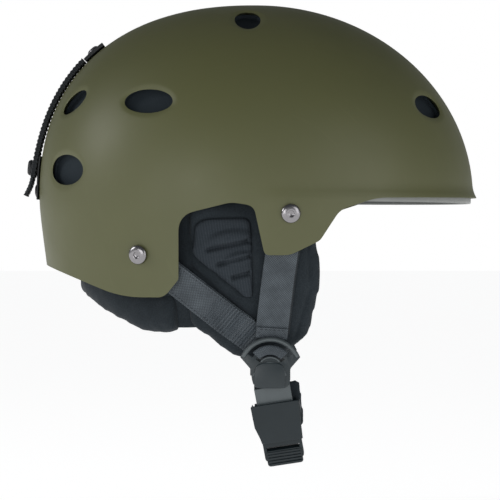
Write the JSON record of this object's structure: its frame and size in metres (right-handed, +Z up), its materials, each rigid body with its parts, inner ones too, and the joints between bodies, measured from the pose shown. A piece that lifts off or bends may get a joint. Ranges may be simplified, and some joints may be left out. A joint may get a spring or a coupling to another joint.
{
  "type": "water sports helmet",
  "caption": "Hard-shell water sports helmet with vents, foam liner, comfort pads, padded ear flaps, nape pad, buckled chin strap and a goggle-band retainer.",
  "frame": {"origin": "middle of the head opening, level with the front brim: the head mount", "axes": "+X towards the face side of the brim, +Y towards the wearer's left, +Z up to the crown"},
  "size_m": [0.289, 0.227, 0.2885],
  "materials": {
    "shell_paint": "satin olive paint",
    "foam": "moulded closed-cell foam",
    "pad_fabric": "brushed knit over foam",
    "webbing": "woven strap",
    "strap_plastic": "moulded, fine grain",
    "nickel": "polished, slightly worn",
    "black_rubber": "moulded elastic"
  },
  "bodies": {
    "helmet": {"base_screw": "nickel", "brow_pad": "pad_fabric", "chin_fold_left": "webbing", "chin_fold_right": "webbing", "crown_pad": "pad_fabric", "ear_insert_left": "pad_fabric", "ear_insert_right": "pad_fabric", "ear_pad_left": "pad_fabric", "ear_pad_right": "pad_fabric", "foam_liner": "foam", "front_strap_left": "webbing", "front_strap_right": "webbing", "neck_pad": "pad_fabric", "outer_shell": "shell_paint", "rear_pad": "pad_fabric", "rear_strap_left": "webbing", "rear_strap_right": "webbing", "retainer_base": "black_rubber", "retainer_plate": "black_rubber", "retainer_screw": "nickel", "side_pad_left": "pad_fabric", "side_pad_right": "pad_fabric", "snap_stud": "nickel", "strap_divider_left": "strap_plastic", "strap_divider_right": "strap_plastic", "strap_fold_left": "webbing", "strap_fold_right": "webbing", "strap_nut_front_left": "nickel", "strap_nut_front_right": "nickel", "strap_nut_rear_left": "nickel", "strap_nut_rear_right": "nickel", "strap_screw_front_left": "nickel", "strap_screw_front_right": "nickel", "strap_screw_rear_left": "nickel", "strap_screw_rear_right": "nickel"},
    "chin_loop": {"chin_web_right": "webbing", "web_keeper": "strap_plastic", "buckle_guard": "pad_fabric", "buckle_female": "strap_plastic"},
    "buckle_tongue": {"buckle_male": "strap_plastic", "chin_web": "webbing"},
    "prong_front": {"buckle_prong_front": "strap_plastic"},
    "prong_rear": {"buckle_prong_rear": "strap_plastic"},
    "retainer": {"retainer_strap": "black_rubber", "snap_cap": "black_rubber", "pull_tab": "black_rubber"}
  },
  "joints": [
    {"name": "chin_loop_swing", "type": "hinge", "parent": "helmet", "child": "chin_loop", "pos_m": [0.008, 0, -0.11], "axis": [0, 1, 0], "range_deg": [-10, 12]},
    {"name": "buckle_release", "type": "slide", "parent": "chin_loop", "child": "buckle_tongue", "axis": [0.167, 0.4009, -0.9008], "range_m": [0, 0.024], "deforming": ["chin_web", "buckle_prong_front", "buckle_prong_rear"]},
    {"name": "prong_front_press", "type": "hinge", "parent": "buckle_tongue", "child": "prong_front", "pos_m": [0.02371, -0.07044, -0.14886], "axis": [0, -0.9136, -0.4066], "range_deg": [0, 12], "stiffness_Nm_per_rad": 0.05},
    {"name": "prong_rear_press", "type": "hinge", "parent": "buckle_tongue", "child": "prong_rear", "pos_m": [0.00655, -0.06926, -0.15152], "axis": [0, 0.9136, 0.4066], "range_deg": [0, 12], "stiffness_Nm_per_rad": 0.05},
    {"name": "retainer_swing", "type": "hinge", "parent": "helmet", "child": "retainer", "pos_m": [-0.11166, 0, 0.08653], "axis": [0, 1, 0], "range_deg": [0, 110]}
  ]
}
